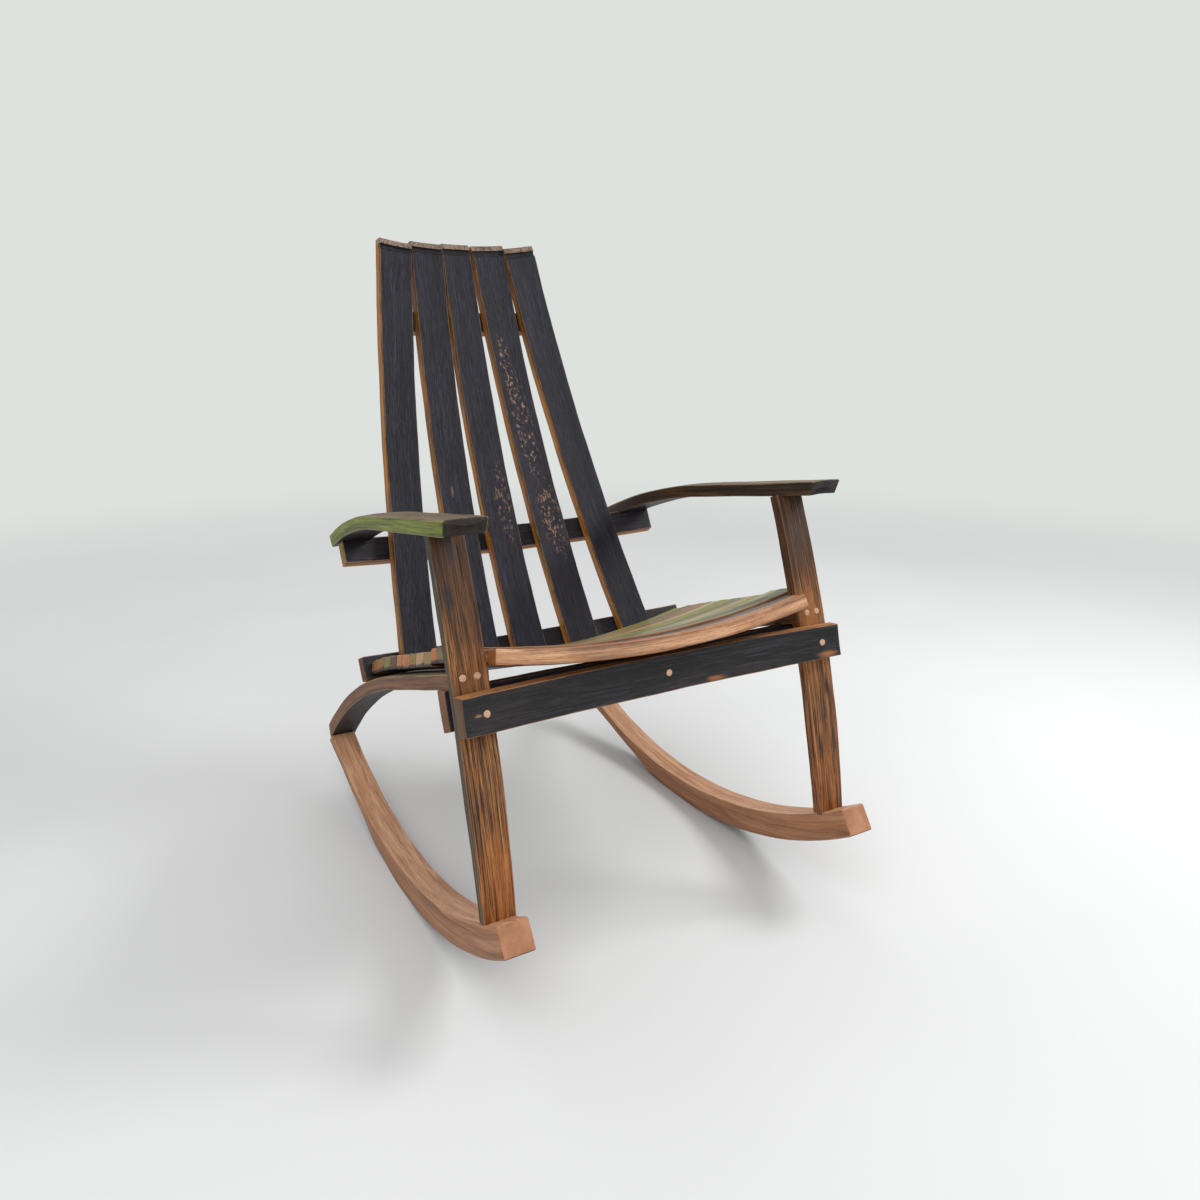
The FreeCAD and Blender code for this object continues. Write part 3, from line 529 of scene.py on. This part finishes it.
# arms
arms = {
    "slope": -0.146,
    "bow": 1.150,
    "wide": (0.055, 0.063, 0.0625),
    "thick": 0.020,
    "round": 0.0022,
    "rake": (-0.008, 0.0),
    "bulge": [(46, 38, 28), (112, 92, 64), (160, 138, 104)],
    "hollow": charred,
    "end": [(10, 8, 7), (24, 18, 14), (52, 38, 26)],
    "streaks": 0.55,
    "stain": 0.3,
    "wear": 0.4,
}
armSides = {
    "right": {"start": (-0.342, 0.6350), "x": -0.2808, "straight": 0.295, "length": 0.595, "spread": 0.0275,
              "seed": 1.7, "edge": [(46, 52, 8), (110, 122, 22), (150, 160, 52)], "edgeChar": 0.5},
    "left": {"start": (-0.307, 0.6299), "x": 0.2806, "straight": 0.260, "length": 0.560, "spread": -0.0275,
             "seed": 4.4, "edge": [(16, 12, 9), (50, 35, 22), (112, 76, 42)], "edgeChar": 0.2},
}
for name, own in armSides.items():
    look = arms | own
    board(f"arm{name.title()}", [f"arm_{name}"], look, *sideRun(look, own["x"], own["spread"]))
print("legs, side rails and arms made")

# cross rails and aprons: hollow side forward, given at their middles
crossPieces = {
    "armCrossRail": {
        "node": "arm_cross_rail", "middle": (0.004, 0.1998, 0.4830), "tilt": 27, "bow": 1.735,
        "length": 0.5915, "wide": (0.044, 0.0445, 0.044), "thick": 0.020,
        "hollow": charred, "bulge": greyOak, "edge": sawnOchre,
        "end": [(96, 66, 26), (150, 118, 50), (186, 156, 92)], "cracks": 0.8,
        "wear": 0.8, "wearTone": (176, 132, 120), "seed": 3.3,
    },
    "lowerCrossRail": {
        "node": "lower_cross_rail", "middle": (0.004, 0.1003, 0.3161), "tilt": 31, "bow": 2.083,
        "length": 0.602, "wide": (0.039, 0.0395, 0.039), "thick": 0.020,
        "hollow": charred, "bulge": greyOak, "edge": sawnOchre,
        "end": [(52, 28, 16), (98, 56, 26), (138, 92, 52)], "cracks": 0.8, "wear": 0.4, "seed": 6.2,
    },
    "frontApron": {
        "node": "front_apron", "middle": (0.0, -0.3225, 0.3940), "tilt": 13.6, "bow": 2.083,
        "length": 0.5925, "wide": (0.050, 0.053, 0.050), "thick": 0.020,
        "hollow": [(5, 5, 7), (18, 17, 20), (58, 54, 60)], "bulge": amber,
        "edge": [(120, 70, 36), (176, 116, 66), (206, 152, 102)],
        "end": [(56, 38, 26), (98, 70, 48), (130, 98, 70)],
        "edgeChar": 0.45, "cracks": 0.8, "wear": 0.5, "wearTone": (170, 116, 72), "seed": 8.1, "pores": 0.2,
        "spots": [(-0.020, 0.375, 0.008, 0.026, 0.8, (150, 94, 50)),
                  (-0.018, 0.57, 0.01, 0.03, 0.8, (160, 104, 60)),
                  (0.0, 0.019, 0.004, 0.008, 0.8, (150, 112, 90))],
    },
    "rearApron": {
        "node": "rear_apron", "middle": (0.0, -0.2648, 0.3803), "tilt": 19, "bow": 2.083,
        "length": 0.591, "wide": (0.054, 0.0495, 0.054), "thick": 0.020,
        "hollow": charred, "bulge": amber, "edge": sawnOchre,
        "end": [(70, 40, 24), (124, 80, 48), (160, 116, 76)],
        "wear": 0.4, "seed": 9.4,
    },
    "topBatten": {
        "node": "top_batten", "middle": (0.001, 0.3415, 0.8530), "tilt": 18.3, "bow": 1.400,
        "length": 0.306, "wide": (0.0385, 0.0395, 0.0385), "thick": 0.020,
        "hollow": charred, "bulge": greyOak, "edge": sawnOchre, "end": endGrain, "wear": 0.5, "seed": 2.9,
    },
}
for name, look in crossPieces.items():
    up, outward = tilted(look["tilt"])
    # the hollow face's middle is given, so the bulging face lies one thickness behind it
    middle = np.array(look["middle"]) + outward * look["thick"]
    opening = look["length"] / 2 / look["bow"]
    dip = outward * look["bow"] * (1 - math.cos(opening))
    reach = look["bow"] * math.sin(opening)
    ends = [middle - dip + np.array([way * reach, 0, 0]) for way in (-1, 1)]
    board(name, [look["node"]], look, *bowed(*ends, outward, look["bow"]))
print("cross rails, aprons and batten made")

# back: five staves, hollow side forward, chimed and crozed at their tops
back = {
    "centre": (-1.9907, 1.6134),            # y and z of the circle that all the staves lie on
    "bow": 2.4425,
    "foot": 0.292,                          # height of the lower ends
    "wide": (0.0595, 0.0590, 0.0605),
    "thick": 0.020,
    "steps": 90,
    "slot": "charred_oak",
    "top": 0.984,
    "hollowCuts": [(0.0, 0.0105, 0.0045, 0.0), (0.0109, 0.0195, 0.004, 0.004)],    # the chime, then the croze
    "cutRows": (0.0022, 0.0101, 0.0105, 0.0109, 0.0113, 0.0191, 0.0195, 0.0199, 0.022),
    "chime": 0.0107,
    "hollow": [(7, 6, 10), (24, 21, 33), (56, 50, 72)],
    "bulge": greyOak,
    "end": [(70, 54, 46), (150, 124, 106), (190, 166, 146)],
    "edge": sawnOchre,
    "cracks": 1.0,
    "sheen": 0.22,
    "streaks": 0.5,
    "stain": 0.4,
    "stainTone": (40, 37, 46),
    "wear": 0.45,
    "wearTone": (150, 122, 104),
    "relief": 0.5,
    "rough": 0.45,
}
backStaves = [                              # top x, foot x, set back, turn to the rail
    {"top": -0.1180, "low": -0.2108, "behind": 0.0030, "twist": 0.075, "seed": 1.1},
    {"top": -0.0605, "low": -0.0990, "behind": 0.0100, "twist": 0.035, "seed": 2.2,
     "spots": [(0.006, 0.31, 0.004, 0.016, 0.5, (134, 108, 92))]},
    {"top": -0.0052, "low": -0.0121, "behind": 0.0125, "twist": 0.0, "seed": 3.6,
     "wide": (0.0590, 0.0585, 0.0555),
     "flecks": [(-0.010, 0.28, 0.016, 0.09, 0.55, (160, 124, 98))]},
    {"top": 0.0549, "low": 0.0909, "behind": 0.0100, "twist": -0.035, "seed": 4.7,
     "wide": (0.0600, 0.0600, 0.0650),
     "flecks": [(0.010, 0.54, 0.014, 0.07, 0.7, (168, 134, 108)),
                (0.002, 0.42, 0.020, 0.12, 0.8, (166, 130, 102)),
                (-0.006, 0.25, 0.024, 0.09, 0.8, (150, 116, 90))],
     "spots": [(0.004, 0.355, 0.005, 0.007, 0.9, (12, 10, 11))]},
    {"top": 0.1145, "low": 0.2011, "behind": 0.0030, "twist": -0.075, "seed": 5.9},
]
for number, own in enumerate(backStaves, 1):
    look = back | own
    centre, bow = np.array(back["centre"]), back["bow"]
    turns = [math.asin((centre[1] - height) / bow) for height in (back["foot"], back["top"])]
    rear = centre[0] + own["behind"]
    places = [np.array([x, rear + bow * math.cos(turn), centre[1] - bow * math.sin(turn)])
              for x, turn in zip((own["low"], own["top"]), turns)]
    outward = np.array([-own["twist"], math.cos(sum(turns) / 2), -math.sin(sum(turns) / 2)])
    bulging, run = bowed(*places, outward, bow)
    tip = [run - cut for cut in back["cutRows"]]
    look |= {"extra": tip, "round": 0.0014, "chimeFrom": run - back["chime"]}
    board(f"backStave{number}", [f"back_stave_{number}"], look, bulging, run)
print("back made")

# seat: strips laid over the side rails, hollow side up
seat = {
    "thick": 0.020,
    "bow": 1.350,
    "slot": "seat_oak",
    "charredHollow": False,
    "charredBulge": True,
    "bulge": [(16, 13, 12), (34, 28, 26), (64, 52, 46)],
    "edge": [(92, 60, 38), (150, 104, 66), (196, 158, 120)],
    "rough": 0.42,
    "wear": 0.85,
    "wearTone": (168, 98, 50),
    "streaks": 0.3,
    "stain": 0.4,
    "stainTone": (74, 66, 52),
    # the strips' ends turn black towards their charred undersides: char, widened by painted shade of the gap
    # under them
    "endChar": 1.0,
    "bevel": 0.0,
    "round": 0.0018,
    "reach": 0.284,                         # half a strip's length
    "frontReach": 0.2447,                   # the first strip stands between the legs
    "rest": 0.2433,                         # how far out the strips rest on the rails
    "gap": 0.0009,                          # between two strips
    "clear": 0.0004,                        # between a strip and the rail
    "raised": {3: 0.004, 4: 0.004},         # two strips stand higher than the others
    "last": 12,                             # the strips behind it have no solid of their own
    "joints": [-0.0296, -0.0026, 0.0244, 0.0697, 0.0929, 0.1257, 0.1605, 0.1869, 0.2271, 0.2545, 0.2887,
               0.3239, 0.3768, 0.3986],     # how far along the rail's top they lie
}
blueGrey = [(60, 60, 66), (112, 112, 116), (160, 156, 154)]
greenGrey = [(64, 72, 52), (118, 128, 92), (166, 172, 134)]
cream = [(122, 106, 72), (176, 160, 118), (212, 200, 160)]
yellowGreen = [(88, 92, 34), (142, 146, 66), (184, 184, 108)]
pinkTan = [(112, 70, 44), (172, 122, 84), (206, 164, 124)]
stripLooks = {                              # tops, then the sawn ends at the sitter's right
    1: {"hollow": pinkTan, "edge": [(122, 78, 50), (186, 136, 98), (214, 172, 136)],
        "end": [(120, 66, 30), (178, 112, 62), (202, 146, 96)], "endChar": 0.3, "pores": 0.5},
    2: {"hollow": blueGrey, "end": [(84, 38, 14), (164, 84, 36), (190, 120, 62)]},
    3: {"hollow": greenGrey, "end": [(52, 46, 18), (112, 100, 40), (146, 132, 66)]},
    4: {"hollow": cream, "end": [(110, 52, 20), (188, 104, 46), (208, 138, 74)]},
    5: {"hollow": yellowGreen, "end": [(84, 66, 26), (150, 122, 54), (180, 152, 86)]},
    6: {"hollow": cream, "end": [(124, 82, 48), (196, 146, 96), (214, 174, 128)]},
    7: {"hollow": greenGrey, "end": [(78, 60, 22), (142, 118, 48), (170, 146, 78)]},
    8: {"hollow": yellowGreen, "end": [(120, 62, 20), (196, 118, 48), (214, 150, 80)]},
    9: {"hollow": cream, "end": [(120, 66, 34), (190, 118, 64), (210, 150, 98)]},
    10: {"hollow": pinkTan, "end": [(42, 24, 12), (88, 52, 26), (122, 84, 46)]},
    11: {"hollow": greenGrey, "end": [(66, 62, 20), (128, 120, 46), (158, 148, 74)]},
    12: {"hollow": yellowGreen, "end": [(100, 58, 20), (168, 106, 46), (190, 136, 74)]},
    13: {"hollow": pinkTan, "end": [(84, 48, 24), (146, 92, 50), (176, 126, 80)]},
}


railPath = sideRun(rails, 0.0)[0]
for number, own in stripLooks.items():
    begin, finish = seat["joints"][number - 1:number + 1]
    point, forward, normal = railPath(np.array((begin + finish) / 2))
    look = seat | own | {"seed": number * 1.37, "wide": (finish - begin - seat["gap"],) * 3}
    reach = seat["frontReach"] if number == 1 else seat["reach"]
    # the bowed strip touches the rails at their inner edges, so its ends stand clear of them
    fall = (reach ** 2 - seat["rest"] ** 2) / (2 * seat["bow"])
    rise = fall + seat["clear"] + seat["raised"].get(number, 0)
    ends = [point + normal * rise + np.array([way * reach, 0, 0]) for way in (-1, 1)]
    nodes = [f"seat_strip_{number:02d}"] if number <= seat["last"] else []
    board(f"seatStrip{number:02d}", nodes, look, *bowed(*ends, -normal, seat["bow"]))
print("seat made")

# rockers: sawn between two arcs
rockers = {
    "side": 0.2705,
    "wide": 0.0425,
    "under": {"radius": 0.769, "from": -0.435, "heel": 0.100, "tail": (0.3815, 0.086)},
    "upper": {"radius": 0.829, "setback": 0.034, "waist": 0.0365, "from": -0.413, "to": 0.3605},
    "round": 0.0028,
    "length": 0.82,
    "steps": 110,
    "slot": "rocker_oak",
    "charredHollow": False,
    "bulge": [(156, 104, 70), (202, 150, 112), (226, 184, 148)],
    "hollow": darkBrown,
    "edge": [(104, 64, 42), (160, 108, 74), (190, 142, 104)],
    "end": [(132, 84, 56), (180, 126, 92), (204, 156, 122)],
    # the sides darker in patches towards the bottom
    "edgeChar": 0.25,
    "streaks": 0.06,
    "wear": 0.2,
    "stain": 0.25,
    "stainTone": (190, 132, 84),
    "pores": 0.15,
    "rough": 0.5,
}


def rockerBoard(name, node, look, side):
    # The upper edge follows one circle and the underside another, then a straight heel: at each step the
    # section stands between a point of one and a point of the other.
    upper, under = look["upper"], look["under"]
    radius = look["round"]
    ends = endRows(radius)
    middle = np.linspace(0.006, 0.994, look["steps"])
    share = np.concatenate([ends[:, 0] / look["length"], middle, 1 - ends[::-1, 0] / look["length"]])
    drawn = np.concatenate([ends[:, 1], np.zeros_like(middle), ends[::-1, 1]])[:, None]
    closed = np.concatenate([ends[:, 2], np.ones_like(middle), ends[::-1, 2]])[:, None]
    endShare = np.concatenate([ends[:, 3], np.zeros_like(middle), ends[::-1, 3]])[:, None]
    topY = upper["from"] + (upper["to"] - upper["from"]) * share
    topZ = upper["waist"] + upper["radius"] - np.sqrt(upper["radius"] ** 2 - (topY - upper["setback"]) ** 2)
    lowY = under["from"] + (under["tail"][0] - under["from"]) * share
    heelZ = under["radius"] - math.sqrt(under["radius"] ** 2 - under["heel"] ** 2)
    rolling = under["radius"] - np.sqrt(under["radius"] ** 2 - np.minimum(lowY, under["heel"]) ** 2)
    climb = (under["tail"][1] - heelZ) / (under["tail"][0] - under["heel"])
    lowZ = np.where(lowY > under["heel"], heelZ + (lowY - under["heel"]) * climb, rolling)
    top = np.stack([np.full_like(topY, side * look["side"]), topY, topZ], -1)
    low = np.stack([np.full_like(lowY, side * look["side"]), lowY, lowZ], -1)
    tall = np.linalg.norm(low - top, axis=1)[:, None]
    down = (low - top) / tall
    sideOf, reach, face, drop, onSide = (column[None, :] for column in ringOf())
    small = np.maximum(radius - drawn, radius * 0.1)
    deep = drawn + small + (tall - 2 * drawn - 2 * small) * face + small * drop
    offset = sideOf * (look["wide"] / 2 - drawn - small) + small * reach
    offset = (offset + 0.0004 * np.sin(share * 41 + side)[:, None] * sideOf) * closed
    deep = tall / 2 + (deep - tall / 2) * closed
    points = top[:, None, :] + down[:, None, :] * deep[..., None] + np.array([1, 0, 0]) * offset[..., None]
    wood = np.stack([offset, points[..., 1], deep * 0.9 + points[..., 1] * 0.05], -1)
    rim = np.stack([onSide + 0 * offset, endShare + 0 * offset, np.clip(deep / tall, 0, 1)], -1)
    piece = bpy.data.objects.new(name, meshOf(name, points, wood, rim))
    bpy.context.scene.collection.objects.link(piece)
    piece.data.materials.append(oak(name + "Oak", look))
    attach(piece, "root")
    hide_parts(node)


rockerBoard("rockerRight", "rocker_right", rockers | {"seed": 2.4}, -1)
rockerBoard("rockerLeft", "rocker_left", rockers | {"seed": 7.3}, 1)
print("rockers made")

# plugs and the block between the aprons
plugLook = {
    "radius": 0.0046,
    "proud": 0.0011,
    "deep": 0.006,
    "tone": [(150, 100, 74), (196, 150, 122), (220, 184, 160)],
}


def plugOak(look):
    finish = bpy.data.materials.new("plugOak")
    finish.use_nodes = True
    tree = finish.node_tree
    place = Tone(tree).make("TexCoord", output="Object")
    speckle = place.stretched((900, 900, 900)).noise(3, 0.6)
    colour = palette(speckle, look["tone"])
    tree.links.new(colour.socket, tree.nodes["Principled BSDF"].inputs["Base Color"])
    rough = 0.4 + speckle * 0.3
    tree.links.new(rough.socket, tree.nodes["Principled BSDF"].inputs["Roughness"])
    return finish


def plugSet(name, node, look, seats):
    # Each plug is turned about its axis: a disc with an eased rim and a short side.
    turn = np.linspace(0, 2 * np.pi, 24, endpoint=False)
    radius, proud = look["radius"], look["proud"]
    profile = np.array([(0.0, proud), (radius * 0.5, proud), (radius * 0.9, proud), (radius, proud * 0.3),
                        (radius, -look["deep"]), (0.0, -look["deep"])])
    points, faces = [], []
    for seatPoint, outward in seats:
        outward = unit(outward)
        right = unit(np.cross(outward, (0, 0, 1)))
        up = np.cross(right, outward)
        rim = right * np.cos(turn)[:, None] + up * np.sin(turn)[:, None]
        start = sum(len(group) for group in points)
        rings = [np.array(seatPoint) + rim * r + outward * h for r, h in profile[1:-1]]
        tips = [np.array(seatPoint) + outward * profile[0, 1], np.array(seatPoint) + outward * profile[-1, 1]]
        points.append(np.concatenate([*rings, np.array(tips)]))
        count, last = len(turn), len(rings) - 1
        for k in range(count):
            n = (k + 1) % count
            faces += [(start + row * count + n, start + row * count + k, start + (row + 1) * count + k,
                       start + (row + 1) * count + n) for row in range(last)]
            faces.append((start + len(rings) * count, start + k, start + n))
            faces.append((start + len(rings) * count + 1, start + last * count + n, start + last * count + k))
    mesh = bpy.data.meshes.new(name)
    mesh.from_pydata(np.concatenate(points).tolist(), [], faces)
    mesh.polygons.foreach_set("use_smooth", np.ones(len(mesh.polygons), bool))
    piece = bpy.data.objects.new(name, mesh)
    bpy.context.scene.collection.objects.link(piece)
    mesh.materials.append(plugOak(look))
    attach(piece, "root")
    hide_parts(node)


plugPlaces = {
    "leg": (-0.3059, 0.4345),               # y and z of the legs' front faces
    "legTilt": 17,
    "legStep": 0.0093,                      # either side of a leg's middle
    "apron": (-0.2625, 0.006, 0.2625),      # x along the front apron
}
legOut = -tilted(plugPlaces["legTilt"])[1]
legSeats = [((side * legs["side"] + way * plugPlaces["legStep"], *plugPlaces["leg"]), legOut)
            for side in (-1, 1) for way in (-1, 1)]
plugSet("legPlugs", "leg_plugs", plugLook, legSeats)
apron = crossPieces["frontApron"]
apronOut = -tilted(apron["tilt"])[1]
hollowBow = apron["bow"] - apron["thick"]
apronSeats = []
for x in plugPlaces["apron"]:
    aside = np.array([x, 0, 0])
    fall = hollowBow - math.sqrt(hollowBow ** 2 - x ** 2)
    apronSeats.append((np.array(apron["middle"]) + apronOut * fall + aside, apronOut * hollowBow - aside))
plugSet("apronPlugs", "apron_plugs", plugLook, apronSeats)


def blockOak():
    # the hidden block keeps its solid, with plain sawn oak worked out in object space
    finish = bpy.data.materials.new("blockOak")
    finish.use_nodes = True
    tree = finish.node_tree
    place = Tone(tree).make("TexCoord", output="Object")
    grain = place.stretched((12, 260, 260)).noise(4, 0.6, 0.5)
    colour = palette(grain, sawnOchre)
    tree.links.new(colour.socket, tree.nodes["Principled BSDF"].inputs["Base Color"])
    rough = 0.5 + grain * 0.2
    tree.links.new(rough.socket, tree.nodes["Principled BSDF"].inputs["Roughness"])
    return finish


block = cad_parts["apron_spacer"]
block.data.materials.clear()
block.data.materials.append(blockOak())
print("plugs and block made")
